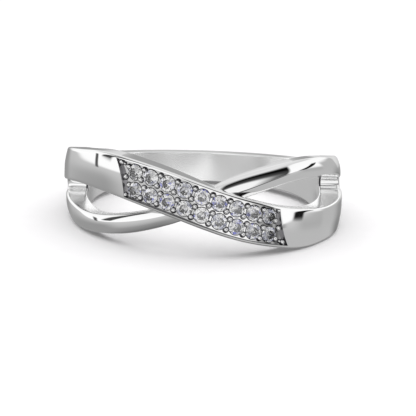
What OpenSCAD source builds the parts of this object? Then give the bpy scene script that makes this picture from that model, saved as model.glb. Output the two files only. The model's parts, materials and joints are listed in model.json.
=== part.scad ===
// Crossover ring lying on its side. The front of the ring splits into a paved ribbon and a
// plain ribbon that passes under it; behind the finger they run together in one plain band.
// Millimetres. Angles run round the finger hole from the middle of the front, in degrees,
// minus to the left and plus to the right. Heights are along the axis of the hole.

/* [Ring] */
// inside diameter of the finger hole
bore_d = 17.3; // [14:0.1:23]
// metal from the finger hole to the rims of the paved ribbon
wall = 1.72; // [1.4:0.02:2.6]
// width of the back band
band_w = 2.28; // [1.6:0.02:4]
// metal of the back band, inside to outside
band_wall = 1.5; // [1.1:0.05:2.4]
// bevel along the edges of the finger hole
inner_bevel = 0.12; // [0.05:0.01:0.3]
// bevel along the outside edges
edge = 0.1; // [0.04:0.01:0.2]

/* [Ribbons] */
// how far the middle of the paved ribbon swings up and down
swing = 1.87; // [1.2:0.01:2.6]
// how far the plain ribbon swings up and down
plain_swing = 2.25; // [1.7:0.01:2.8]
// width of the plain ribbon where it crosses
plain_w = 1.5; // [1:0.02:1.9]
// how much the faces of the ribbons are domed
dome = 0.38; // [0:0.01:0.5]

/* [Pave] */
// stones in one of the two rows
row_count = 9; // [5:1:9]
// diameter of a stone
stone_d = 1.15; // [0.8:0.01:1.3]
// metal between neighbouring stones of a row
stone_gap = 0.1; // [0.04:0.01:0.3]
// metal between the two rows
row_gap = 0.15; // [0.04:0.01:0.4]
// metal between the stones and the rims
bed_margin = 0.155; // [0.05:0.005:0.3]
// metal rim on each side of the sunk bed
rim = 0.22; // [0.12:0.01:0.4]
// depth of the sunk bed
bed_deep = 0.42; // [0.25:0.01:0.6]
// height of a stone from the lower side of its girdle to its flat top
stone_h = 0.31; // [0.2:0.01:0.45]
// gap between the pave and the metal round it
seat_gap = 0.03; // [0.01:0.01:0.06]

/* [Hidden] */
bore_r = bore_d / 2;
rim_r = bore_r + wall;
bed_r = rim_r - bed_deep;
paved_w = 2 * (stone_d + bed_margin + rim) + row_gap;
degrees = 180 / PI;
// where the slots between the ribbons end, and where their ends begin to round
crotch_at = 95;
turn_at = 91;
// where the ribbons begin to run together into the band
join_at = 85;
// how far the plain ribbon's ends lie under the surface that they run into
root = 0.03;
// how far the sections reach into the finger hole before it is bored
under = 0.3;
// from one cross section to the next, in degrees
step = 5;
// steps across the domed face of a section
crown_step = 0.25;
// how late the dome falls away towards its edges: 2 is a round arc
crown_power = 2.4;

// Paved ribbon, half of it: the other half is the same turned over.
// angle, middle as a share of swing, width as a share of paved_w, share of the wall,
// dome at the far edge
PAVED = [
  [0, 0, 1.005, 1, 0], [10, -0.315, 1.003, 1, 0], [20, -0.578, 0.987, 1, 0],
  [30, -0.786, 0.953, 1, 0], [40, -0.936, 0.915, 1, 0.08], [50, -0.997, 0.859, 1, 0.3],
  [60, -0.979, 0.778, 1, 0.45], [70, -0.914, 0.75, 1, 0.62], [80, -0.823, 0.745, 1, 0.8],
  [90, -0.7, 0.756, 0.98, 0.8], [100, -0.6, 0.76, 0.9, 0.8]
];

// Plain ribbon, end to end.
// angle, middle as a share of plain_swing, width as a share of plain_w, share of the wall,
// dome at the slot edge, dome at the far edge
PLAIN = [
  [-100, -0.66, 1, 0.9, 0, 0.8], [-90, -0.711, 1.093, 0.9, 0.05, 0.88],
  [-80, -0.784, 1.113, 0.9, 0.1, 0.95], [-70, -0.878, 1.073, 0.885, 0.2, 0.9],
  [-60, -0.951, 0.973, 0.86, 0.4, 0.9], [-50, -0.94, 0.927, 0.83, 0.6, 0.9],
  [-40, -0.858, 0.973, 0.79, 0.75, 0.9], [-30, -0.716, 1, 0.73, 0.85, 0.9],
  [-20, -0.524, 0.96, 0.67, 0.9, 0.9], [-10, -0.282, 0.95, 0.61, 0.9, 0.9],
  [0, 0.044, 1, 0.58, 0.9, 0.9], [10, 0.391, 1.12, 0.61, 0.9, 0.9],
  [20, 0.628, 1.16, 0.67, 0.9, 0.9], [30, 0.826, 1.08, 0.73, 0.85, 0.9],
  [40, 0.987, 0.987, 0.79, 0.75, 0.9], [50, 1.053, 0.96, 0.83, 0.6, 0.9],
  [60, 1.058, 0.89, 0.86, 0.4, 0.9], [70, 0.991, 0.86, 0.885, 0.2, 0.9],
  [80, 0.876, 0.92, 0.9, 0.1, 0.95], [90, 0.724, 1.08, 0.9, 0.05, 0.88],
  [100, 0.64, 1, 0.9, 0, 0.8]
];

// Back band, half of it: the other half mirrors it.
// angle, half width as a share of band_w / 2, thickness from 0, the ribbons' own, to 1, band_wall
BAND = [
  [80, 2.3, 0], [90, 2.14, 0], [95, 2.06, 0], [100, 1.93, 0.05], [105, 1.74, 0.1],
  [110, 1.56, 0.2], [120, 1.34, 0.5], [130, 1.19, 0.75], [140, 1.11, 0.9], [155, 1.04, 1],
  [170, 1.005, 1], [180, 1, 1], [190, 1.005, 1]
];
// share of the wall that the band has where the ribbons run into it
band_start = 0.9;
// dome of the band's face where it starts, and how much of it goes by the back
band_dome = 0.8;
band_flatten = 0.4;

// smooth reading of column c of table t at angle a
function part_of(t, a, i = 0) = (i >= len(t) - 2 || a < t[i + 1][0]) ? i : part_of(t, a, i + 1);
function lean_of(t, i, c) = let(p = max(i - 1, 0), n = min(i + 1, len(t) - 1))
  (t[n][c] - t[p][c]) / (t[n][0] - t[p][0]);
function read(t, a, c) = let(
  i = part_of(t, a), h = t[i + 1][0] - t[i][0], u = (a - t[i][0]) / h,
  p = t[i][c], q = t[i + 1][c], m = lean_of(t, i, c) * h, n = lean_of(t, i + 1, c) * h)
  p + u * (m + u * (3 * (q - p) - 2 * m - n + u * (2 * (p - q) + m + n)));

// -1 on the left of the ring, 1 on the right
function side(a) = a < 0 ? -1 : 1;
// 1 along the slot between the ribbons, rounding down to 0 at its closed end
function closing(a) = abs(a) <= turn_at ? 1
  : pow(max(0, 1 - pow((abs(a) - turn_at) / (crotch_at - turn_at), 3)), 1 / 3);
// 0 on the ribbons, up to 1 where they have become the band
function joined(a) = let(u = max(0, min(1, (abs(a) - join_at) / (crotch_at - join_at))))
  u * u * (3 - 2 * u);

// middle and half width of each ribbon, and half width and outside radius of the band
function paved_mid(a) = side(a) * swing * read(PAVED, abs(a), 1);
function paved_half(a) = paved_w / 2 * read(PAVED, abs(a), 2);
function plain_mid(a) = plain_swing * read(PLAIN, a, 1);
function plain_half(a) = plain_w / 2 * read(PLAIN, a, 2);
function band_half(a) = band_w / 2 * read(BAND, abs(a), 1);
function band_r(a) = let(s = read(BAND, abs(a), 2))
  bore_r + wall * band_start * (1 - s) + band_wall * s;

// height of the middle of a slot at its closed end, halfway between the ribbons
function crotch_z(a) = let(t = side(a) * turn_at)
  (paved_mid(t) + plain_mid(t) + side(a) * (paved_half(t) - plain_half(t))) / 2;

// edges of the ribbons: the slot edge, and the far edge, which runs into the band. The plain
// ribbon's ends run a little way into the paved ribbon and the band.
function paved_near(a) = crotch_z(a)
  + (paved_mid(a) + side(a) * paved_half(a) - crotch_z(a)) * closing(a);
function paved_far(a) = let(w = joined(a))
  (paved_mid(a) - side(a) * paved_half(a)) * (1 - w) - side(a) * band_half(max(abs(a), 80)) * w;
function plain_near(a) = let(root_z = crotch_z(a) - side(a) * 2 * root)
  root_z + (plain_mid(a) - side(a) * plain_half(a) - root_z) * closing(a);
function plain_far(a) = let(w = joined(a))
  (plain_mid(a) + side(a) * plain_half(a)) * (1 - w)
  + side(a) * (band_half(max(abs(a), 80)) - root) * w;

// A cross section between two heights, with a domed face at radius r that falls by sag_lo and
// sag_hi towards its edges. Each point is radius, height.
function crown(lo, hi, r, sag_lo, sag_hi) = [
  for (t = [0:crown_step:1])
    [r - sag_lo * pow(1 - t, crown_power) - sag_hi * pow(t, crown_power),
      lo + edge + (hi - lo - 2 * edge) * t]
];
function section(lo, hi, r, sag_lo, sag_hi) = concat(
  [[bore_r + inner_bevel, lo], [r - sag_lo - edge, lo]],
  crown(lo, hi, r, sag_lo, sag_hi),
  [[r - sag_hi - edge, hi], [bore_r + inner_bevel, hi]],
  [[bore_r - under, hi - inner_bevel - under], [bore_r - under, lo + inner_bevel + under]]
);
function paved_section(a) = let(
  sag = dome * read(PAVED, abs(a), 4), r = bore_r + wall * read(PAVED, abs(a), 3))
  a < 0 ? section(paved_near(a), paved_far(a), r, 0, sag)
  : section(paved_far(a), paved_near(a), r, sag, 0);
function plain_section(a) = let(
  near = dome * read(PLAIN, a, 4), far = dome * read(PLAIN, a, 5),
  r = bore_r + wall * read(PLAIN, a, 3) - root * joined(a))
  a < 0 ? section(plain_far(a), plain_near(a), r, far, near)
  : section(plain_near(a), plain_far(a), r, near, far);
function band_section(a) = let(
  h = band_half(a), sag = dome * (band_dome - band_flatten * read(BAND, abs(a), 2)))
  section(-h, h, band_r(a), sag, sag);

// cross sections in place round the hole, closer where the slots end
function spot(a, p) = [p[0] * sin(a), -p[0] * cos(a), p[1]];
function in_place(a, s) = [for (p = s) spot(a, p)];
end_steps = [for (k = [1:5]) turn_at + (crotch_at - turn_at) * sin(17 * k)];
front_steps = concat(
  [for (k = [4:-1:0]) -end_steps[k]], [for (a = [-90:step:90]) a], end_steps
);
plain_ends = crotch_at + 3;
paved_rings = [for (a = front_steps) in_place(a, paved_section(a))];
plain_rings = [
  for (a = concat([-plain_ends], front_steps, [plain_ends])) in_place(a, plain_section(a))
];
band_rings = [
  for (a = [crotch_at:step:360 - crotch_at]) in_place(a, band_section(a > 180 ? a - 360 : a))
];

// joins one cross section after another: a tube with two ends, or a closed loop
module tube(rings, loop = false) {
  n = len(rings[0]);
  m = len(rings);
  skin = [
    for (i = [0:loop ? m - 1 : m - 2]) for (j = [0:n - 1])
      let(k = (j + 1) % n, a = i * n, b = (i + 1) % m * n)
        each [[a + j, a + k, b + j], [a + k, b + k, b + j]]
  ];
  // an end with an even number of points bows, so it is closed in strips across
  first = n % 2 == 1 ? [[for (j = [n - 1:-1:0]) j]]
    : [for (j = [0:n / 2 - 2]) [n - 1 - j, n - 2 - j, j + 1, j]];
  last = [for (f = first) [for (k = [len(f) - 1:-1:0]) f[k] + (m - 1) * n]];
  polyhedron([for (s = rings) each s], loop ? skin : concat(skin, first, last), convexity = 8);
}

// The sunk bed, as long as its rows of stones. Its ends bow outwards towards the far edge.
// s runs along it from -1 to 1, t across it from low to high, g is a gap to its walls.
pitch = (stone_d + stone_gap) / (bed_r + seat_gap) * degrees;
bed_end = (row_count - 1) / 2 * pitch + (stone_d / 2 + bed_margin) / bed_r * degrees;
bed_bow = 0.8 / bed_r * degrees;
bow_power = 2.2;
function bed_spot(s, t, r, g) = let(
  far = s < 0 ? t : 1 - t,
  a = s * (bed_end + bed_bow * pow(far, bow_power) - g / bed_r * degrees),
  lo = min(paved_near(a), paved_far(a)) + rim + g,
  hi = max(paved_near(a), paved_far(a)) - rim - g)
  spot(a, [r, lo + (hi - lo) * t]);
module bed_block(r0, r1, g) tube([
  for (s = [-1:0.08:1]) concat(
    [for (t = [1:-0.25:0]) bed_spot(s, t, r0, g)], [for (t = [0:0.25:1]) bed_spot(s, t, r1, g)])
]);

// The ring lies down by itself on three of its low corners: two of the paved ribbon, on the
// right, and one of the band on the left. It stands with its box centred on the origin.
touch_front = spot(55, [bore_r + inner_bevel, paved_far(55)]);
touch_right = spot(80, [bore_r + inner_bevel, paved_far(80)]);
touch_left = spot(-crotch_at, band_section(-crotch_at)[1]);
normal = cross(touch_front - touch_left, touch_right - touch_left);
floor_up = normal / norm(normal) * (normal[2] < 0 ? -1 : 1);
across = [1, 0, 0] - floor_up * floor_up[0];
floor_x = across / norm(across);
floor_y = cross(floor_up, floor_x);
lying = [
  for (rings = [paved_rings, plain_rings, band_rings], s = rings, p = s)
    [floor_x * p, floor_y * p, floor_up * p]
];
low = [for (i = [0:2]) min([for (p = lying) p[i]])];
high = [for (i = [0:2]) max([for (p = lying) p[i]])];
module at_rest() translate([-(low[0] + high[0]) / 2, -(low[1] + high[1]) / 2, -low[2]])
  multmatrix([concat(floor_x, 0), concat(floor_y, 0), concat(floor_up, 0)]) children();

module ring_band() color("#d9dadd") at_rest() difference() {
  resize([0, 0, 0]) difference() {
    union() {
      tube(concat(paved_rings, band_rings), loop = true);
      tube(plain_rings);
    }
    bed_block(bed_r, rim_r + 1, 0);
  }
  cylinder(h = bore_d, r = bore_r, center = true, $fn = 180);
}

// a stone of the pave: its girdle, and its crown up to the flat top
seat = 0.1;
module stone() {
  girdle_r = bed_r + seat / 2;
  crown_h = stone_h / 2;
  translate([0, 0, girdle_r]) cylinder(h = stone_h - crown_h, d = stone_d, $fn = 32);
  translate([0, 0, girdle_r + stone_h - crown_h])
    cylinder(h = crown_h, d1 = stone_d, d2 = stone_d * 0.58, $fn = 32);
}
module pave() color("#eef1f6") at_rest() {
  bed_block(bed_r + seat_gap, bed_r + seat, seat_gap);
  for (i = [0:row_count - 1], row = [-1, 1]) let(a = (i - (row_count - 1) / 2) * pitch)
    rotate([90, 0, a]) translate([0, paved_mid(a) + row * (stone_d + row_gap) / 2, 0]) stone();
}

ring_band();
pave();
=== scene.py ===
import functools
import json
import math
import random

import bmesh
import bpy
import numpy as np
from mathutils import Matrix, Vector


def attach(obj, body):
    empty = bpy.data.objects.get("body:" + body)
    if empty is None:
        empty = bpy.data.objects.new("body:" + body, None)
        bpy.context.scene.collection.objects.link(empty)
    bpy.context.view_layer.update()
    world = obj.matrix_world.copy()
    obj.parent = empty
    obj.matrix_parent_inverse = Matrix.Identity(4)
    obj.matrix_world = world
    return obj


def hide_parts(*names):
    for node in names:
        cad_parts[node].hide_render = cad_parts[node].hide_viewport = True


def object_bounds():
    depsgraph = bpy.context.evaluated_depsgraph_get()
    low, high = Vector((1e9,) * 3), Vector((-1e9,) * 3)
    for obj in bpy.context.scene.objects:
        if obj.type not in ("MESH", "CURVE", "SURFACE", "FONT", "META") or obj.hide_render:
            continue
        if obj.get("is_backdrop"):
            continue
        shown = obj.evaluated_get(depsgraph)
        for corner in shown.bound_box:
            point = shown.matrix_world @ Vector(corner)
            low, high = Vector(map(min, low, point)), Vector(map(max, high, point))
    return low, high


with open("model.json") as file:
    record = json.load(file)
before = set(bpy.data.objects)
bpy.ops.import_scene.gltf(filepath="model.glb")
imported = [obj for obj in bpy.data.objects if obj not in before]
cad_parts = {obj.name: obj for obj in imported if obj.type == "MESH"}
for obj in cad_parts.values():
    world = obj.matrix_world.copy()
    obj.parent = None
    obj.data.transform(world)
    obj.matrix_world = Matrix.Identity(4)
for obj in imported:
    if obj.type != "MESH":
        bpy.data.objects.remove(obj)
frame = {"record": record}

CAD_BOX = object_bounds()
MM = 0.001

# The ring's own frame comes from the finger hole: Z along the hole, the crossing towards -Y. Sizes
# are in millimetres. Angles are in degrees round the hole from the middle of the front, minus to the
# left.
HOLE = next(m for m in frame["record"]["mounts"] if m["name"] == "finger_hole")
AXIS = Vector(HOLE["axis"]).normalized()
ACROSS = Vector((0, 1, 0)).cross(AXIS).normalized()
LYING = Matrix((ACROSS, AXIS.cross(ACROSS), AXIS)).transposed().to_4x4()
LYING.translation = Vector(HOLE["pos_m"])

# Sizes of the casting

# the bore's radius, the wall, the ribbons' widths, and the back band's width and wall
BORE = HOLE["dims"]["r_mm"]
WALL = 1.72
PAVED_W = 3.2
PLAIN_W = 1.5
BAND_W = 2.28
BAND_WALL = 1.5
# how far a ribbon's middle swings up and down
PAVED_SWING = 1.87
PLAIN_SWING = 2.25
# the rounding of the bore's edges and of the outer edges, and how near to them a side is already flat
BEVEL = 0.05
EDGE = 0.1
FLAT = 0.12
# how far a face falls at its edge where a table's dome is 1
DOME = 0.38
# a dome is level for a share of the way to its edge, then falls by a power: 2 is a round arc
CROWN = (0, 2.4)
PAVED_CROWN = (0.5, 1.35)
# where the slots end, and where the ribbons' far edges begin to turn into the band's
SLOT_END = 95
JOIN_FROM = 85
# where the ribbons meet the band: their share of the wall, and their dome
JOIN_WALL = 0.9
JOIN_DOME = 0.8
# where the band's table starts, where its points lie evenly, and its dome
BAND_FROM = 80
BAND_EVEN = 118
BAND_DOME = 0.4
# near the crossing the plain ribbon's inner face lies a little deeper, and doesn't share a surface with
# the paved ribbon's: by how much, and the angles between which that fades out
SUNK = 0.02
SUNK_FADE = (40, 60)
# angles of the sections, which stand closer where the slots end
FRONT_ANGLES = [-SLOT_END, -92.5] + list(range(-90, 91, 5)) + [92.5, SLOT_END]
BAND_ANGLES = [97, 100] + list(range(105, 256, 5)) + [260, 263]

# columns of the ribbons' tables after the angle: the middle as a share of the swing, the width as a
# share of the ribbon's, the share of the wall, and the domes at the slot's edge and at the far edge
MIDDLE, WIDTH, THICK, SLOT_DOME, FAR_DOME = 1, 2, 3, 4, 5
# one half of the paved ribbon: the other is the same turned over
PAVED = [
    (0, 0, 1.005, 1, 0.2, 0.2), (10, 0.315, 1.003, 1, 0.22, 0.25),
    (20, 0.578, 0.987, 1, 0.28, 0.35), (30, 0.786, 0.953, 1, 0.35, 0.48),
    (40, 0.936, 0.915, 1, 0.4, 0.55), (50, 0.997, 0.859, 1, 0.37, 0.5),
    (60, 0.979, 0.778, 1, 0.28, 0.45), (70, 0.914, 0.75, 1, 0.15, 0.3),
    (80, 0.823, 0.745, 1, 0.05, 0.4), (90, 0.7, 0.756, 0.98, 0, 0.8),
    (100, 0.6, 0.76, 0.9, 0, 0.8),
]
PLAIN = [
    (-100, -0.66, 1, 0.9, 0, 0.8), (-90, -0.711, 1.093, 0.9, 0.05, 0.88),
    (-80, -0.784, 1.113, 0.9, 0.1, 0.95), (-70, -0.878, 1.073, 0.885, 0.2, 0.9),
    (-60, -0.951, 0.973, 0.86, 0.4, 0.9), (-50, -0.94, 0.927, 0.83, 0.6, 0.9),
    (-40, -0.858, 0.973, 0.79, 0.75, 0.9), (-30, -0.716, 1, 0.73, 0.85, 0.9),
    (-20, -0.524, 0.96, 0.67, 0.9, 0.9), (-10, -0.282, 0.95, 0.61, 0.9, 0.9),
    (0, 0.044, 1, 0.58, 0.9, 0.9), (10, 0.391, 1.12, 0.61, 0.9, 0.9),
    (20, 0.628, 1.16, 0.67, 0.9, 0.9), (30, 0.826, 1.08, 0.73, 0.85, 0.9),
    (40, 0.987, 0.987, 0.79, 0.75, 0.9), (50, 1.053, 0.96, 0.83, 0.6, 0.9),
    (60, 1.058, 0.89, 0.86, 0.4, 0.9), (70, 0.991, 0.86, 0.885, 0.2, 0.9),
    (80, 0.876, 0.92, 0.9, 0.1, 0.95), (90, 0.724, 1.08, 0.9, 0.05, 0.88),
    (100, 0.64, 1, 0.9, 0, 0.8),
]
# the back band, one half of it. Columns after the angle: the half width as a share of BAND_W / 2, and
# the wall, 0 for the ribbons' and 1 for BAND_WALL
HALF_WIDTH, BAND_SHARE = 1, 2
BAND = [
    (BAND_FROM, 2.3, 0), (90, 2.14, 0), (95, 2.06, 0), (100, 1.93, 0.05), (105, 1.74, 0.1),
    (110, 1.56, 0.2), (120, 1.34, 0.5), (130, 1.19, 0.75), (140, 1.11, 0.9), (155, 1.04, 1),
    (170, 1.005, 1), (180, 1, 1), (190, 1.005, 1),
]
# shares of a face's width at which a section has points: a ribbon's from low to high, the band's inner
# face from high to low
OUTER = (0, 0.07, 0.28, 0.5, 0.72, 0.93, 1)
INNER = (0, 0.025, 0.33, 0.67, 0.975, 1)
BAND_INNER = (0, 0.025, 0.12, 0.22, 0.33, 0.44, 0.56, 0.67, 0.78, 0.88, 0.975, 1)
# a section's four runs in their order
OUTER_FACE, HIGH_SIDE, INNER_FACE, LOW_SIDE = range(4)

# The stones and their bed

# stones in each of the two rows, their diameter, and how far apart they stand
STONES = 9
STONE_D = 1.15
PITCH = 1.25
# how far a row lies over or under the ribbon's middle
ROW_UP = 0.65
# the rims beside the bed, the bed's depth, and the radius of its floor
RIM = 0.2
BED_DEEP = 0.42
BED = BORE + WALL - BED_DEEP
# the bed past its last stones, and how far and by what power its end bows out to the far corner
BED_MARGIN = 0.155
BOW = 0.8
BOW_POWER = 2.2
# how far the bed's cutter stands out of the metal
CLEAR = 1
# the underside of a girdle over the bed's floor
GIRDLE_UP = 0.03
# a stone's seat: the gap round the girdle, its depth under the girdle, and how far its cutter reaches up
SEAT_GAP = 0.045
SEAT_DEEP = 0.62
SEAT_OVER = 0.1
SEAT_SIDES = 32
# how much a stone leans, in degrees, and the seed of all that is random
STONE_LEAN = 1.5
SEED = 7

# The setter's grains
GRAIN_R = 0.18
# a grain's middle over the bed's floor, how far its foot reaches down from there, the foot's flare, and
# the heights of the points on its round top as angles
GRAIN_UP = 0.08
GRAIN_ROOT = 0.12
GRAIN_FLARE = 1.02
GRAIN_ARC = (0, 18, 36, 54, 72)
GRAIN_SIDES = 20
# the cut metal round a grain, painted dark as shade round its foot: its width, how far it reaches down
# from the grain's middle, and its top over the bed's floor
COLLAR = 0.06
COLLAR_ROOT = 0.1
COLLAR_UP = 0.012
# where grains stand round the middle of a gap between two stones, along and across the ribbon, and how
# far those at the bed's two ends are shifted
GRAIN_OUT = (0.14, 0.37)
END_SHIFT = 0.15
# the grains in the bed's corners: along, across, and the share of a full grain's size
CORNER_GRAINS = ((0.5, 0.5, 1), (0.22, 0.42, 0.5))

# The ring's materials in their order, and the grains' second one: the cut and the milled ones are painted
# shade
POLISHED, SATIN, CUT_SHADE, MILLED_SHADE = range(4)
GRAIN_CUT_SHADE = 1
# a face is satin if its middle is this near to the bore
SATIN_SKIN = 0.03
# the plain ribbon's face in the left slot and the paved ribbon's in the right slot are satin: the least
# height of their normals, the X past which they lie, and their heights
LEFT_LEVEL, LEFT_PAST, LEFT_UNDER = 0.9, -6, 0
RIGHT_LEVEL, RIGHT_PAST, RIGHT_HEIGHTS = 0.85, 5, (-0.8, 0.3)
# the lines of painted shade at the slots' ends: angles from SLOT_END, heights, and how far out of the
# bore the line in the corner and the one at the top lie
LINE_ANGLES = (-0.8, 1.2)
LINE_HEIGHTS = (-0.35, 0.95)
CORNER_LINE = (0.01, 0.16)
TOP_LINE_FROM, TOP_LINE_OUT = 0.68, 1.2


# The casting

def read(table, angle, column):
    """A smooth reading of one column of a table at an angle."""
    rows = np.array(table, float)
    i = int(np.clip(np.searchsorted(rows[:, 0], angle, side="right") - 1, 0, len(rows) - 2))

    def lean(k):
        before, after = rows[max(k - 1, 0)], rows[min(k + 1, len(rows) - 1)]
        return (after[column] - before[column]) / (after[0] - before[0])

    start, end = rows[i], rows[i + 1]
    span = end[0] - start[0]
    u = (angle - start[0]) / span
    m, n = lean(i) * span, lean(i + 1) * span
    p, q = start[column], end[column]
    return p + u * (m + u * (3 * (q - p) - 2 * m - n + u * (2 * (p - q) + m + n)))


def side(angle):
    """-1 on the left of the ring, 1 on the right."""
    return -1 if angle < 0 else 1


def ease(low, high, value):
    """0 below low, 1 above high, and a smooth rise between."""
    u = min(max((value - low) / (high - low), 0), 1)
    return u * u * (3 - 2 * u)


def band_half(angle):
    """Half the back band's width at an angle. Nearer the front than BAND_FROM it stays as it is there."""
    return BAND_W / 2 * read(BAND, max(abs(angle), BAND_FROM), HALF_WIDTH)


def paved_edges(angle):
    """Heights of the paved ribbon's slot edge and far edge."""
    a, s = abs(angle), side(angle)
    middle = -s * PAVED_SWING * read(PAVED, a, MIDDLE)
    half = PAVED_W / 2 * read(PAVED, a, WIDTH)
    w = ease(JOIN_FROM, SLOT_END, a)
    return middle + s * half, (middle - s * half) * (1 - w) - s * band_half(a) * w


def plain_edges(angle):
    """Heights of the plain ribbon's slot edge and far edge."""
    s = side(angle)
    middle = PLAIN_SWING * read(PLAIN, angle, MIDDLE)
    half = PLAIN_W / 2 * read(PLAIN, angle, WIDTH)
    w = ease(JOIN_FROM, SLOT_END, abs(angle))
    return middle - s * half, (middle + s * half) * (1 - w) + s * band_half(angle) * w


def spot(angle, radius, height):
    """A point of the ring's own frame."""
    a = math.radians(angle)
    return Vector((radius * math.sin(a), -radius * math.cos(a), height))


def fall(t, crown):
    """How far a dome has fallen, from 0 to 1, at a share t of the way to its edge."""
    start, power = crown
    return (max(t - start, 0) / (1 - start)) ** power


def ribbon_loop(low, high, radius, sag_low, sag_high, crown, sunk=0):
    """One section of a ribbon as (radius, height) points in four runs: the outer face from low to high,
    the high side, the inner face from high to low, and the low side."""
    bore = BORE + sunk
    width = high - low
    outer = []
    for t in OUTER:
        sag = sag_low * fall(1 - t, crown) + sag_high * fall(t, crown)
        outer.append((radius - sag, low + EDGE + (width - 2 * EDGE) * t))
    inner = [(bore, low + BEVEL + (width - 2 * BEVEL) * t) for t in reversed(INNER)]
    foot = bore + BEVEL
    high_top, low_top = radius - sag_high - EDGE, radius - sag_low - EDGE
    high_side = [(high_top, high), (high_top - FLAT, high), (foot + FLAT, high), (foot, high)]
    low_side = [(foot, low), (foot + FLAT, low), (low_top - FLAT, low), (low_top, low)]
    return outer, high_side, inner, low_side


def paved_loop(angle):
    """One section of the paved ribbon."""
    near, far = paved_edges(angle)
    a = abs(angle)
    radius = BORE + WALL * read(PAVED, a, THICK)
    near_sag, far_sag = DOME * read(PAVED, a, SLOT_DOME), DOME * read(PAVED, a, FAR_DOME)
    if angle < 0:
        return ribbon_loop(near, far, radius, near_sag, far_sag, PAVED_CROWN)
    return ribbon_loop(far, near, radius, far_sag, near_sag, PAVED_CROWN)


def plain_loop(angle):
    """One section of the plain ribbon."""
    near, far = plain_edges(angle)
    sunk = SUNK * (1 - ease(*SUNK_FADE, abs(angle)))
    radius = BORE + WALL * read(PLAIN, angle, THICK)
    near_sag, far_sag = DOME * read(PLAIN, angle, SLOT_DOME), DOME * read(PLAIN, angle, FAR_DOME)
    if angle < 0:
        return ribbon_loop(far, near, radius, far_sag, near_sag, CROWN, sunk)
    return ribbon_loop(near, far, radius, near_sag, far_sag, CROWN, sunk)


def band_loop(angle, start_outer, start_inner):
    """One section of the back band as four runs. Its points are those of the two ribbons as they are
    where the slots end, and they spread evenly as the band goes round."""
    half = band_half(angle)
    thick = read(BAND, abs(angle), BAND_SHARE)
    radius = BORE + WALL * JOIN_WALL * (1 - thick) + BAND_WALL * thick
    sag = DOME * (JOIN_DOME - (JOIN_DOME - BAND_DOME) * thick)
    w = ease(SLOT_END, BAND_EVEN, abs(angle))

    def height(start, edge, even):
        """Height of a point from its start at the slot's end and its even place, from -1 to 1."""
        return start * (half - edge) / (band_half(SLOT_END) - edge) * (1 - w) + even * (half - edge) * w

    outer = []
    for i, (r0, z0) in enumerate(start_outer):
        z = height(z0, EDGE, -1 + 2 * i / (len(start_outer) - 1))
        t = (z / (half - EDGE) + 1) / 2
        crown = radius - sag * fall(1 - t, CROWN) - sag * fall(t, CROWN)
        outer.append(((r0 - BORE - WALL * JOIN_WALL + radius) * (1 - w) + crown * w, z))
    inner = [
        (BORE, height(z0, BEVEL, 1 - 2 * share)) for (_, z0), share in zip(start_inner, BAND_INNER)
    ]
    top, foot = radius - sag - EDGE, BORE + BEVEL
    high_side = [(top, half), (top - FLAT, half), (foot + FLAT, half), (foot, half)]
    low_side = [(r, -z) for r, z in reversed(high_side)]
    return outer, high_side, inner, low_side


def skin(bm, loops):
    """Faces between one closed loop of vertices and the next."""
    for first, second in zip(loops, loops[1:]):
        for i in range(len(first)):
            j = (i + 1) % len(first)
            bm.faces.new((first[i], first[j], second[j], second[i]))


def ribbon_verts(bm, loop_at, slot_runs):
    """Vertices of a ribbon's sections, each as its four runs. slot_runs names the run that is the slot's
    side on the left and on the right: it stops at the slot's end wall, and the other runs meet the band a
    little past that."""
    found = []
    for angle in FRONT_ANGLES:
        past = side(angle) * math.degrees(EDGE / BORE) * (abs(angle) == SLOT_END)
        slot_run = slot_runs[angle > 0]
        found.append([
            [bm.verts.new(spot(angle if k == slot_run else angle + past, r, z)) for r, z in run]
            for k, run in enumerate(loop_at(angle))
        ])
    return found


def new_object(name, bm):
    bmesh.ops.recalc_face_normals(bm, faces=bm.faces)
    mesh = bpy.data.meshes.new(name)
    bm.to_mesh(mesh)
    bm.free()
    piece = bpy.data.objects.new(name, mesh)
    bpy.context.scene.collection.objects.link(piece)
    return piece


def apply_modifiers(piece):
    """Replaces a piece's mesh by what its modifiers make of it."""
    graph = bpy.context.evaluated_depsgraph_get()
    made = bpy.data.meshes.new_from_object(piece.evaluated_get(graph))
    piece.modifiers.clear()
    piece.data = made


def band_start(bm, low, high):
    """The band's first section at one side, from the last sections of its low and its high ribbon. The
    wall that closes the slot goes between them."""
    under_slot = [low[OUTER_FACE][-1]] + low[HIGH_SIDE] + [low[INNER_FACE][0]]
    over_slot = [high[OUTER_FACE][0]] + high[LOW_SIDE][::-1] + [high[INNER_FACE][-1]]
    for i in range(len(under_slot) - 1):
        bm.faces.new((under_slot[i], under_slot[i + 1], over_slot[i + 1], over_slot[i]))
    outer_face = low[OUTER_FACE] + high[OUTER_FACE]
    inner_face = high[INNER_FACE] + low[INNER_FACE]
    return outer_face, high[HIGH_SIDE], inner_face, low[LOW_SIDE]


def cast_ring():
    """The cast ring before its bed is cut: two ribbons that run together into the back band."""
    bm = bmesh.new()
    paved = ribbon_verts(bm, paved_loop, (LOW_SIDE, HIGH_SIDE))
    plain = ribbon_verts(bm, plain_loop, (HIGH_SIDE, LOW_SIDE))
    for ribbon in (paved, plain):
        skin(bm, [sum(runs, []) for runs in ribbon])
    right = band_start(bm, paved[-1], plain[-1])
    left = band_start(bm, plain[0], paved[0])

    def shape(verts):
        """Radius and height of each vertex."""
        return [(math.hypot(v.co.x, v.co.y), v.co.z) for v in verts]

    loops = [sum(right, [])]
    for turn in BAND_ANGLES:
        angle, start = (turn, right) if turn <= 180 else (turn - 360, left)
        runs = band_loop(angle, shape(start[OUTER_FACE]), shape(start[INNER_FACE]))
        loops.append([bm.verts.new(spot(turn, r, z)) for run in runs for r, z in run])
    loops.append(sum(left, []))
    skin(bm, loops)
    piece = new_object("ring_metal", bm)
    round_off = piece.modifiers.new("round", "SUBSURF")
    round_off.levels = round_off.render_levels = 2
    apply_modifiers(piece)
    return piece


# The bed, the stones and the grains

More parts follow.
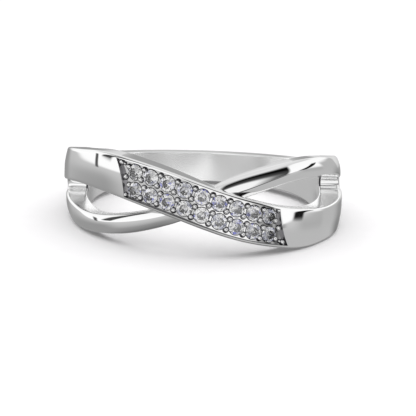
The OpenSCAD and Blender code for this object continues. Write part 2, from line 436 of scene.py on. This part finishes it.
def stone_angle(i):
    """Angle of the stone or, with a half added, of the gap after it."""
    return math.degrees((i - (STONES - 1) / 2) * PITCH / BED)


def row_height(angle, row):
    """Height of a row of stones, row -1 or 1."""
    return sum(paved_edges(angle)) / 2 + row * ROW_UP


def outward(angle, height, radius):
    """A stone's own frame in the ring's: Z straight out of the ring, Y along the hole."""
    a = math.radians(angle)
    turn = Matrix(((math.cos(a), 0, math.sin(a)), (math.sin(a), 0, -math.cos(a)), (0, 1, 0))).to_4x4()
    turn.translation = spot(angle, radius, height)
    return turn


def stone_places():
    """Each stone's own frame, with its origin under the middle of its girdle."""
    for i in range(STONES):
        for row in (-1, 1):
            angle = stone_angle(i)
            yield outward(angle, row_height(angle, row), BED + GIRDLE_UP)


def bed_place(s, t, radius):
    """A point of the sunk bed: s runs along it from -1 to 1, t across it from low to high."""
    far = t if s < 0 else 1 - t
    stones_end = math.degrees(((STONES - 1) / 2 * PITCH + STONE_D / 2 + BED_MARGIN) / BED)
    bow = math.degrees(BOW / BED)
    angle = s * (stones_end + bow * far ** BOW_POWER)
    near, far_edge = paved_edges(angle)
    low, high = min(near, far_edge) + RIM, max(near, far_edge) - RIM
    return spot(angle, radius, low + (high - low) * t)


def lathe(bm, place, profile, sides, material=0):
    """A turned solid: profile is its (radius, height) points from the axis round to the axis."""
    rings = []
    for radius, height in profile:
        if radius == 0:
            rings.append([bm.verts.new(place @ Vector((0, 0, height)))] * sides)
            continue
        turns = [math.tau * k / sides for k in range(sides)]
        rings.append([
            bm.verts.new(place @ Vector((radius * math.cos(a), radius * math.sin(a), height)))
            for a in turns
        ])
    for first, second in zip(rings, rings[1:]):
        for k in range(sides):
            j = (k + 1) % sides
            corners = []
            for v in (first[k], first[j], second[j], second[k]):
                if v not in corners:
                    corners.append(v)
            bm.faces.new(corners).material_index = material


def bed_cutter():
    """The bed, and in its floor a cone under each stone. The bed's side walls and the cones leave cut
    metal, its end walls milled metal; both are painted dark as shade in the recess."""
    bm = bmesh.new()
    along, across = 64, 12
    low, high = [
        [
            [bm.verts.new(bed_place(-1 + 2 * i / along, j / across, radius)) for j in range(across + 1)]
            for i in range(along + 1)
        ]
        for radius in (BED, BORE + WALL + CLEAR)
    ]
    for grid in (low, high):
        for i in range(along):
            for j in range(across):
                bm.faces.new((grid[i][j], grid[i + 1][j], grid[i + 1][j + 1], grid[i][j + 1]))
    # the bed's side walls: cut metal painted dark, painted shade along the rows of stones
    for i in range(along):
        for j in (0, across):
            wall = bm.faces.new((low[i][j], low[i + 1][j], high[i + 1][j], high[i][j]))
            wall.material_index = CUT_SHADE
    # the bed's end walls: milled metal painted grey, painted shade
    for j in range(across):
        for i in (0, along):
            wall = bm.faces.new((low[i][j], low[i][j + 1], high[i][j + 1], high[i][j]))
            wall.material_index = MILLED_SHADE
    mouth = STONE_D / 2 + SEAT_GAP
    seat = [(0, -SEAT_DEEP), (mouth, -GIRDLE_UP), (mouth, SEAT_OVER), (0, SEAT_OVER)]
    # the seats: cut metal painted dark, painted shade round each stone
    for place in stone_places():
        lathe(bm, place, seat, SEAT_SIDES, CUT_SHADE)
    return new_object("bed_cutter", bm)


def cut_bed(ring):
    """Cuts the bed and the stones' seats out of the ring."""
    cutter = bed_cutter()
    cut = ring.modifiers.new("bed", "BOOLEAN")
    cut.operation = "DIFFERENCE"
    cut.solver = "EXACT"
    cut.use_self = True
    cut.object = cutter
    apply_modifiers(ring)
    bpy.data.objects.remove(cutter)


def brilliant(bm, place, radius, facet_paint_draw, rng):
    """A round brilliant: table, stars, bezels, upper girdle facets, girdle, lower girdle facets and
    mains. Each facet but the table draws a share that picks its tint: clear, painted shade or painted
    fire."""
    # how far out the table, the stars and the tips of the lower girdle facets reach
    table, star, tip = 0.57 * radius, 0.77 * radius, 0.23 * radius
    # heights: the pavilion is shallow, which leaves a stone's middle darker than its rim
    crown, girdle, pavilion = 0.3 * radius, 0.06 * radius, 0.69 * radius
    sixteenth = math.tau / 16

    def ring_of(r, z, start, step, count):
        turns = [(start + step * k) * sixteenth for k in range(count)]
        return [bm.verts.new(place @ Vector((r * math.cos(a), r * math.sin(a), z))) for a in turns]

    star_z = girdle + crown * (radius - star * math.cos(sixteenth)) / (radius - table)
    tip_z = -pavilion * (1 - tip * math.cos(sixteenth) / radius)
    flat = ring_of(table, girdle + crown, 0, 2, 8)
    stars = ring_of(star, star_z, 1, 2, 8)
    upper = ring_of(radius, girdle, 0, 1, 16)
    lower = ring_of(radius, 0, 0, 1, 16)
    tips = ring_of(tip, tip_z, 1, 2, 8)
    culet = bm.verts.new(place @ Vector((0, 0, -pavilion)))
    faces = [flat]
    for k in range(8):
        j = (k + 1) % 8
        a, b, c = 2 * k, 2 * k + 1, (2 * k + 2) % 16
        faces += [
            (flat[k], stars[k], flat[j]),
            (flat[k], stars[k - 1], upper[a], stars[k]),
            (stars[k], upper[a], upper[b]),
            (stars[k], upper[b], upper[c]),
            (upper[a], lower[a], lower[b], upper[b]),
            (upper[b], lower[b], lower[c], upper[c]),
            (lower[a], tips[k], lower[b]),
            (lower[b], tips[k], lower[c]),
            (lower[a], tips[k - 1], culet, tips[k]),
        ]
    for k, corners in enumerate(faces):
        bm.faces.new(corners)[facet_paint_draw] = rng.random() if k > 0 else 0


def set_stones():
    """The stones, each spun at random and leaning a little."""
    bm = bmesh.new()
    # each facet's draw picks its painted shade or painted fire
    facet_paint_draw = bm.faces.layers.float.new("facet")
    rng = random.Random(SEED)
    for place in stone_places():
        spin = Matrix.Rotation(rng.uniform(0, math.tau), 4, "Z")
        tip_over = Matrix.Rotation(rng.gauss(0, math.radians(STONE_LEAN)), 4, "X")
        brilliant(bm, place @ tip_over @ spin, STONE_D / 2, facet_paint_draw, rng)
    return new_object("brilliants", bm)


def grain_places():
    """Each grain's angle, height and share of a full grain's size. Four stand in each gap between the
    columns of stones and at both ends, and two more in the far corner of each end."""
    for gap in range(STONES + 1):
        angle = stone_angle(gap - 0.5)
        end = (gap == STONES) - (gap == 0)
        for row in (-1, 1):
            for up in (-1, 1):
                height = row_height(angle, row) + up * GRAIN_OUT[1] + end * END_SHIFT
                yield angle + math.degrees(up * GRAIN_OUT[0] / BED), height, 1
        if end:
            for along, across, size in CORNER_GRAINS:
                height = row_height(angle, -end) - end * across
                yield angle + end * math.degrees(along / BED), height, size


def raise_grains():
    """The grains, and round each a collar of cut metal on the bed's floor, painted dark as shade."""
    bm = bmesh.new()
    for angle, height, size in grain_places():
        r = GRAIN_R * size
        place = outward(angle, height, BED + GRAIN_UP)
        foot = [(0, -GRAIN_ROOT), (r * GRAIN_FLARE, -GRAIN_ROOT)]
        arc = [(r * math.cos(math.radians(t)), r * math.sin(math.radians(t))) for t in GRAIN_ARC]
        lathe(bm, place, foot + arc + [(0, r)], GRAIN_SIDES)
        rim, top = r + COLLAR, COLLAR_UP - GRAIN_UP
        collar = [(0, -COLLAR_ROOT), (rim, -COLLAR_ROOT), (rim, top), (0, top)]
        # the collar: painted shade round the grain's foot
        lathe(bm, place, collar, GRAIN_SIDES, GRAIN_CUT_SHADE)
    return new_object("grains", bm)


# Materials

def linear(hex_colour):
    """An sRGB hex colour as the linear colour that Blender works in."""
    parts = [int(hex_colour[i:i + 2], 16) / 255 for i in (1, 3, 5)]
    return [p / 12.92 if p <= 0.04045 else ((p + 0.055) / 1.055) ** 2.4 for p in parts] + [1]


def node(tree, kind, inputs=(), **settings):
    """Adds a node. inputs are its sockets' values or the nodes or sockets that feed them, by order or by
    name."""
    made = tree.nodes.new("ShaderNode" + kind)
    for name, value in settings.items():
        setattr(made, name, value)
    pairs = inputs.items() if isinstance(inputs, dict) else enumerate(inputs)
    for key, value in pairs:
        if isinstance(value, bpy.types.Node):
            value = value.outputs[0]
        if isinstance(value, bpy.types.NodeSocket):
            tree.links.new(value, made.inputs[key])
        elif value is not None:
            made.inputs[key].default_value = value
    return made


def new_material(name):
    material = bpy.data.materials.new(name)
    material.use_nodes = True
    material.node_tree.nodes.clear()
    return material, material.node_tree


# the marks of finishing: their length in spacings, and their depth in mm. At their real spacing they
# are too fine to make out in the render, where they only soften the reflections.
MARK_LENGTH = 30
MARK_DEPTH = 0.002
# the width of a cloud of wear in mm, and the span of what the marks and the clouds make together
CLOUD = 1.1
NOISE_SPAN = (0.1, 0.5)


def metal_material(name, colour, rough, rough_spread, mark, depth):
    """White metal. The marks of its finishing run round the ring: mark is their spacing in mm, depth
    their share of MARK_DEPTH. They and clouds of wear roughen it by up to rough_spread."""
    material, tree = new_material(name)
    lie = node(tree, "UVMap", uv_map="round_mm")
    across_marks = {"Vector": lie, "Scale": (1 / (MARK_LENGTH * mark), 1 / mark, 1)}
    stretched = node(tree, "Mapping", across_marks)
    marks = node(tree, "TexNoise", {"Vector": stretched, "Scale": 1, "Detail": 3})
    cloud = node(tree, "TexNoise", {"Vector": lie.outputs[0], "Scale": 1 / CLOUD, "Detail": 2})
    both = node(tree, "Math", [marks, cloud], operation="MULTIPLY")
    roughness = node(tree, "MapRange", [both, *NOISE_SPAN, rough, rough + rough_spread])
    bump = node(tree, "Bump", {"Height": marks, "Strength": depth, "Distance": MARK_DEPTH * MM})
    shader = node(tree, "BsdfPrincipled",
                  {"Base Color": linear(colour), "Metallic": 1, "Roughness": roughness, "Normal": bump})
    node(tree, "OutputMaterial", [shader])
    return material


# the painted light in a brilliant's facets, each tint from a share of them upwards: the greys are painted
# shade, the blues painted glints of fire
FACET_SHADE_AND_FIRE = (
    (0, "#ffffff"), (0.78, "#a6a9bd"), (0.86, "#50536f"), (0.9, "#e6e8ff"), (0.97, "#5558c8"),
)


def brilliant_material():
    """Diamond, cut and polished flat: clear and strongly bending, so that the eye sees bright and dark
    facets side by side. Grey and dark tints on some facets add painted shade, and blue to violet
    tints on others are painted glints of fire."""
    material, tree = new_material("cut_diamond")
    facet = node(tree, "Attribute", attribute_name="facet")
    facet_fire_and_shade = node(tree, "ValToRGB", [facet.outputs["Fac"]])
    ramp = facet_fire_and_shade.color_ramp
    ramp.interpolation = "CONSTANT"
    for k, (at, colour) in enumerate(FACET_SHADE_AND_FIRE):
        stop = ramp.elements[k] if k < 2 else ramp.elements.new(at)
        stop.position = at
        stop.color = linear(colour)
    shader = node(tree, "BsdfPrincipled",
                  {"Base Color": facet_fire_and_shade, "Roughness": 0, "IOR": 2.42, "Transmission Weight": 1})
    node(tree, "OutputMaterial", [shader])
    return material


def paper_material():
    """Uncoated white paper: matt and even, with a grain only just lighter and darker."""
    material, tree = new_material("white_paper")
    place = node(tree, "TexCoord").outputs["Object"]
    grain = node(tree, "TexNoise", {"Vector": place, "Scale": 1 / (PAPER_GRAIN * MM), "Detail": 2})
    tone = node(tree, "MixRGB", [grain, linear("#f7f6f7"), linear("#faf9fa")])
    shader = node(tree, "BsdfPrincipled", {"Base Color": tone, "Roughness": 0.9})
    node(tree, "OutputMaterial", [shader])
    return material


# this much of the radius goes into the map's second axis, so that level faces have marks too
MAP_LEAN = 0.35


def lay_round(piece):
    """A map of the piece in mm: along the ring, and up the hole."""
    layer = piece.data.uv_layers.new(name="round_mm")
    for face in piece.data.polygons:
        middle = math.atan2(face.center.x, -face.center.y)
        for corner in face.loop_indices:
            v = piece.data.vertices[piece.data.loops[corner].vertex_index].co
            a = math.atan2(v.x, -v.y)
            a += math.tau * round((middle - a) / math.tau)
            layer.data[corner].uv = (a * BORE, v.z + MAP_LEAN * math.hypot(v.x, v.y))


def choose_finishes(ring):
    """Gives the bore and the slots' lower faces their finishes, and the slots' ends dark lines of painted
    shade.
    """
    for face in ring.data.polygons:
        x, y, z = face.center
        out = math.hypot(x, y) - BORE
        level = face.normal.z
        in_left_slot = level > LEFT_LEVEL and x < LEFT_PAST and z < LEFT_UNDER
        in_right_slot = (level > RIGHT_LEVEL and x > RIGHT_PAST
                         and RIGHT_HEIGHTS[0] < z < RIGHT_HEIGHTS[1])
        in_bore = out < SATIN_SKIN
        if face.material_index == POLISHED and (in_bore or in_left_slot or in_right_slot):
            face.material_index = SATIN
        # painted shade: a dark line in the corner of each slot's end and one along its top
        turned = math.degrees(math.atan2(x, -y))
        past_end = abs(turned) - SLOT_END
        up = z * side(turned)
        at_end = (LINE_ANGLES[0] < past_end < LINE_ANGLES[1]
                  and LINE_HEIGHTS[0] < up < LINE_HEIGHTS[1])
        in_corner = CORNER_LINE[0] < out < CORNER_LINE[1]
        at_top = up > TOP_LINE_FROM and out < TOP_LINE_OUT
        if at_end and (in_corner or at_top):
            face.material_index = CUT_SHADE


def finish_piece(piece, materials, sharp, replaced):
    """Lays a finished piece down with the ring, gives it its materials, hangs it on the root body and
    hides the part that it replaces.
    Edges sharper than the angle sharp stay sharp, and with 0 every facet is flat."""
    lay_round(piece)
    piece.data.transform(LYING @ Matrix.Scale(MM, 4))
    if sharp:
        piece.data.shade_smooth()
        piece.data.set_sharp_from_angle(angle=math.radians(sharp))
    else:
        piece.data.shade_flat()
    chosen = [face.material_index for face in piece.data.polygons]
    piece.data.materials.clear()
    for material in materials:
        piece.data.materials.append(material)
    for face, index in zip(piece.data.polygons, chosen):
        face.material_index = min(index, len(materials) - 1)
    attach(piece, "root")
    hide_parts(replaced)


# The studio, as the polished metal shows it. Directions are in degrees, square to the ring as it leans:
# bearing from the front, plus to the right, and height. A fade is a pair of values: it starts at the
# first and is full at the second.

# how bright the room is at each height over its horizon
ROOM = (
    (-90, 0.16), (-67, 0.2), (-54, 0.26), (-43, 0.33), (-30, 0.48), (-15, 0.57), (-1, 0.63), (1, 1.1),
    (34, 1.05), (42, 0.7), (60, 0.85), (90, 0.8),
)
# the horizon dips on the right: bearings where it starts, is deepest and ends, and how deep
DIP_START, DIP_BOTTOM, DIP_END, DIP_DEEP = -30, 30, 88, 26
# screens and the gaps between them, each laid over those before it: bearing, height, half width, half
# height, slant, softness, brightness
SCREENS = (
    (-70, 46, 28, 10, 0, 3, 0.2),
    (-98, 4, 2, 6, -0.25, 1, 0.1),
    (104, -8, 18, 10, 0, 8, 0.44),
    (97, 9, 5, 10, 1.1, 1.5, 0.01),
    (150, 0, 34, 16, 0, 4, 0.5),
    (168, 9, 16, 14, 0, 1.5, 0.75),
    (-174, 9, 10, 14, 0, 1.5, 0.75),
    (176, 13, 4, 9, 0, 2, 0.36),
    (92, -33, 46, 20, 0, 12, 0.52),
    (-125, -30, 45, 20, 0, 14, 0.33),
    (-168, -5, 20, 12, 0, 8, 0.33),
    (156, -14, 13, 7, 0, 11, 0.2),
)
# the table's dark edge on the right, just under the horizon: its fades and its brightness
TABLE_BEARINGS = ((20, 35), (76, 66))
TABLE_HEIGHTS = ((1, -2), (-8, -5))
TABLE_BRIGHT = 0.12
# a dark cloth on the right, lit from below: its fades, the glow's half width and height, and how the
# glow fades outwards
CLOTH_BEARINGS = ((-14, -2), (72, 67))
CLOTH_FOOT = (-1, 1.5)
CLOTH_TOP = (37, 29)
GLOW = (74, 23)
GLOW_END = 1.5
GLOW_FADE = (
    (0, 1), (0.52, 1), (0.66, 0.5), (0.76, 0.18), (0.88, 0.07), (1, 0.045), (1.12, 0.03),
    (1.25, 0.003),
)
# a curved dark leg of a frame on the left: the middle, half width and height of its curve, the fades of
# its two edges, those to its right and its foot, and its brightness
LEG = (-38, 50, 45)
LEG_EDGES = ((0.84, 0.9), (1.12, 1.06))
LEG_RIGHT = (-48, -60)
LEG_FOOT = (5, 8)
LEG_BRIGHT = 0.07
# the room's brightness for diffuse rays: little, because the lamp overhead lights the paper
ROOM_ON_PAPER = 0.2

# the width of the paper's grain in mm
PAPER_GRAIN = 1.1

# The floor and the lamp, in metres and watts
FLOOR_HALF = 2
LAMP_AT = Vector((0, -0.01, 0.2))
LAMP_ACROSS = 0.5
LAMP_POWER = 0.95


def studio():
    world = bpy.data.worlds.new("studio")
    bpy.context.scene.world = world
    world.use_nodes = True
    tree = world.node_tree
    tree.nodes.clear()
    add = functools.partial(node, tree)

    def rise(value, low, high):
        """0 below low, 1 above high, and a smooth rise between. It falls where low is over high."""
        at_low, at_high = (0, 1) if low < high else (1, 0)
        inputs = {0: value, 1: min(low, high), 2: max(low, high), 3: at_low, 4: at_high}
        return add("MapRange", inputs, interpolation_type="SMOOTHSTEP")

    def product(*factors):
        whole = factors[0]
        for factor in factors[1:]:
            whole = add("Math", [whole, factor], operation="MULTIPLY")
        return whole

    def graded(value, low, high, table):
        """The brightness that a table of (value, brightness) gives, between the values low and high."""
        ramp = add("ValToRGB", [add("MapRange", {0: value, 1: low, 2: high})])
        stops = ramp.color_ramp.elements
        for k, (at, bright) in enumerate(table):
            stop = stops[k] if k < 2 else stops.new(1)
            stop.position = (at - low) / (high - low)
            stop.color = (bright, bright, bright, 1)
        return ramp

    def laid(under, over, mask):
        """One brightness laid over another where the mask is 1."""
        bare = add("Math", [1, mask], operation="SUBTRACT")
        return add("Math", [product(under, bare), product(over, mask)], operation="ADD")

    facing = add("TexCoord").outputs["Generated"]
    stand_up = {"Vector": facing, "Rotation": LYING.to_3x3().inverted().to_euler()}
    square = add("VectorRotate", stand_up, rotation_type="EULER_XYZ")
    x, y, z = add("SeparateXYZ", [square]).outputs
    degrees = 180 / math.pi
    bearing = product(add("Math", [x, product(y, -1)], operation="ARCTAN2"), degrees)
    height = product(add("Math", [z], operation="ARCSINE"), degrees)

    def oval(middle, wide, tall):
        """How far out a direction lies, with 1 on an arch over the horizon."""
        across = add("Math", [bearing, 1 / wide, -middle / wide], operation="MULTIPLY_ADD")
        across = add("Math", [across], operation="ABSOLUTE")
        up = product(add("Math", [height, 0], operation="MAXIMUM"), 1 / tall)
        squares = [add("Math", [part, 2], operation="POWER") for part in (across, up)]
        return add("Math", [add("Math", squares, operation="ADD")], operation="SQRT")

    dip = product(rise(bearing, DIP_START, DIP_BOTTOM), rise(bearing, DIP_END, DIP_BOTTOM), DIP_DEEP)
    over = add("Math", [height, dip], operation="ADD")
    light = graded(over, -90, 90, ROOM)
    for at, up, wide, tall, slant, soft, bright in SCREENS:
        above = add("Math", [height, up], operation="SUBTRACT")
        beside = add("Math", [bearing, at], operation="SUBTRACT")
        beside = add("Math", [beside, product(above, slant)], operation="SUBTRACT")
        fades = []
        for offset, half in ((beside, wide), (above, tall)):
            off = add("Math", [offset], operation="ABSOLUTE")
            fades.append(rise(off, half + soft, half - soft))
        light = laid(light, bright, product(*fades))

    table_edge = product(*[rise(bearing, *fade) for fade in TABLE_BEARINGS],
                         *[rise(over, *fade) for fade in TABLE_HEIGHTS])
    light = laid(light, TABLE_BRIGHT, table_edge)
    cloth = product(*[rise(bearing, *fade) for fade in CLOTH_BEARINGS],
                    rise(over, *CLOTH_FOOT), rise(height, *CLOTH_TOP))
    light = laid(light, graded(oval(0, *GLOW), 0, GLOW_END, GLOW_FADE), cloth)
    curve = oval(*LEG)
    leg = product(*[rise(curve, *fade) for fade in LEG_EDGES],
                  rise(bearing, *LEG_RIGHT), rise(height, *LEG_FOOT))
    light = laid(light, LEG_BRIGHT, leg)
    light = laid(light, ROOM_ON_PAPER, add("LightPath").outputs["Is Diffuse Ray"])
    background = add("Background", {"Color": light, "Strength": 1})
    add("OutputWorld", [background])


def floor_and_lamp():
    """The paper and the lamp over it. The metal and the stones show neither, only the studio."""
    bm = bmesh.new()
    bmesh.ops.create_grid(bm, x_segments=1, y_segments=1, size=FLOOR_HALF)
    floor = new_object("floor", bm)
    floor.data.materials.append(paper_material())
    floor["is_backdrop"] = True
    lamp_data = bpy.data.lights.new("soft_box", "AREA")
    lamp_data.shape = "DISK"
    lamp_data.size = LAMP_ACROSS
    lamp_data.energy = LAMP_POWER
    lamp = bpy.data.objects.new("soft_box", lamp_data)
    bpy.context.scene.collection.objects.link(lamp)
    lamp.location = LAMP_AT
    lamp.rotation_euler = (-LAMP_AT).to_track_quat("-Z", "Y").to_euler()
    for unseen in (floor, lamp):
        unseen.visible_glossy = False
        unseen.visible_transmission = False


def camera():
    """The photograph's camera: it looks slightly down on the crossing from the front."""
    down, roll, turn = math.radians(8.95), math.radians(1.83), math.radians(-0.27)
    # how far away it stands and its sensor's width in mm, and the nearest that it sees in metres
    distance, sensor, nearest = 180.0, 36, 0.001
    # the ring in the photograph: pixels to a mm, the pixel that its middle is at, and the frame's width
    px_per_mm, centre_x, centre_y, frame_px = 13.43, 203.3, 184.2, 416
    ahead = Vector((0, math.cos(down), -math.sin(down)))
    level = Vector((1, 0, 0))
    above = level.cross(ahead)
    right = level * math.cos(roll) + above * math.sin(roll)
    up = above * math.cos(roll) - level * math.sin(roll)
    pose = Matrix((right, up, -ahead)).transposed().to_4x4()
    pose.translation = -ahead * distance * MM
    data = bpy.data.cameras.new("camera")
    data.sensor_width = sensor
    data.lens = px_per_mm * distance / frame_px * sensor
    data.shift_x = (frame_px / 2 - centre_x) / frame_px
    data.shift_y = (centre_y - frame_px / 2) / frame_px
    data.clip_start = nearest
    shot = bpy.data.objects.new("camera", data)
    bpy.context.scene.collection.objects.link(shot)
    shot.matrix_world = LYING @ Matrix.Rotation(-turn, 4, "Z") @ pose
    bpy.context.scene.camera = shot


# white gold, plated and buffed: a mirror, in which the room shows as crisp white and dark bands
polished = metal_material(
    "plated_white_gold", "#f4f4f4", rough=0.012, rough_spread=0.03, mark=0.02, depth=0.06)
# the same gold brushed to a satin, in the bore and the slots: bright, its reflections soft-edged
satin = metal_material(
    "satin_white_gold", "#fdfdfd", rough=0.18, rough_spread=0.06, mark=0.03, depth=0.3)
# gold cut with a graver round the stones and at the slots' ends, its colour painted dark: painted shade
# that draws a dark line in these recesses and corners
shaded_cut_metal = metal_material(
    "cut_white_gold_painted_shade", "#4a494d", rough=0.4, rough_spread=0.2, mark=0.03, depth=0.6)
# gold milled at the bed's two ends, its colour painted a dull mid grey: painted shade on the recess's end
# walls
shaded_milled_metal = metal_material(
    "milled_white_gold_painted_shade", "#9a999c", rough=0.3, rough_spread=0.15, mark=0.03, depth=0.4)

ring = cast_ring()
cut_bed(ring)
choose_finishes(ring)
finish_piece(ring, [polished, satin, shaded_cut_metal, shaded_milled_metal], 32, "ring_band")
finish_piece(set_stones(), [brilliant_material()], 0, "pave")
finish_piece(raise_grains(), [polished, shaded_cut_metal], 40, "pave")

studio()
floor_and_lamp()
camera()
bpy.context.scene.view_settings.view_transform = "Standard"

SIZES = [[list(corner) for corner in box] for box in (CAD_BOX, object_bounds())]
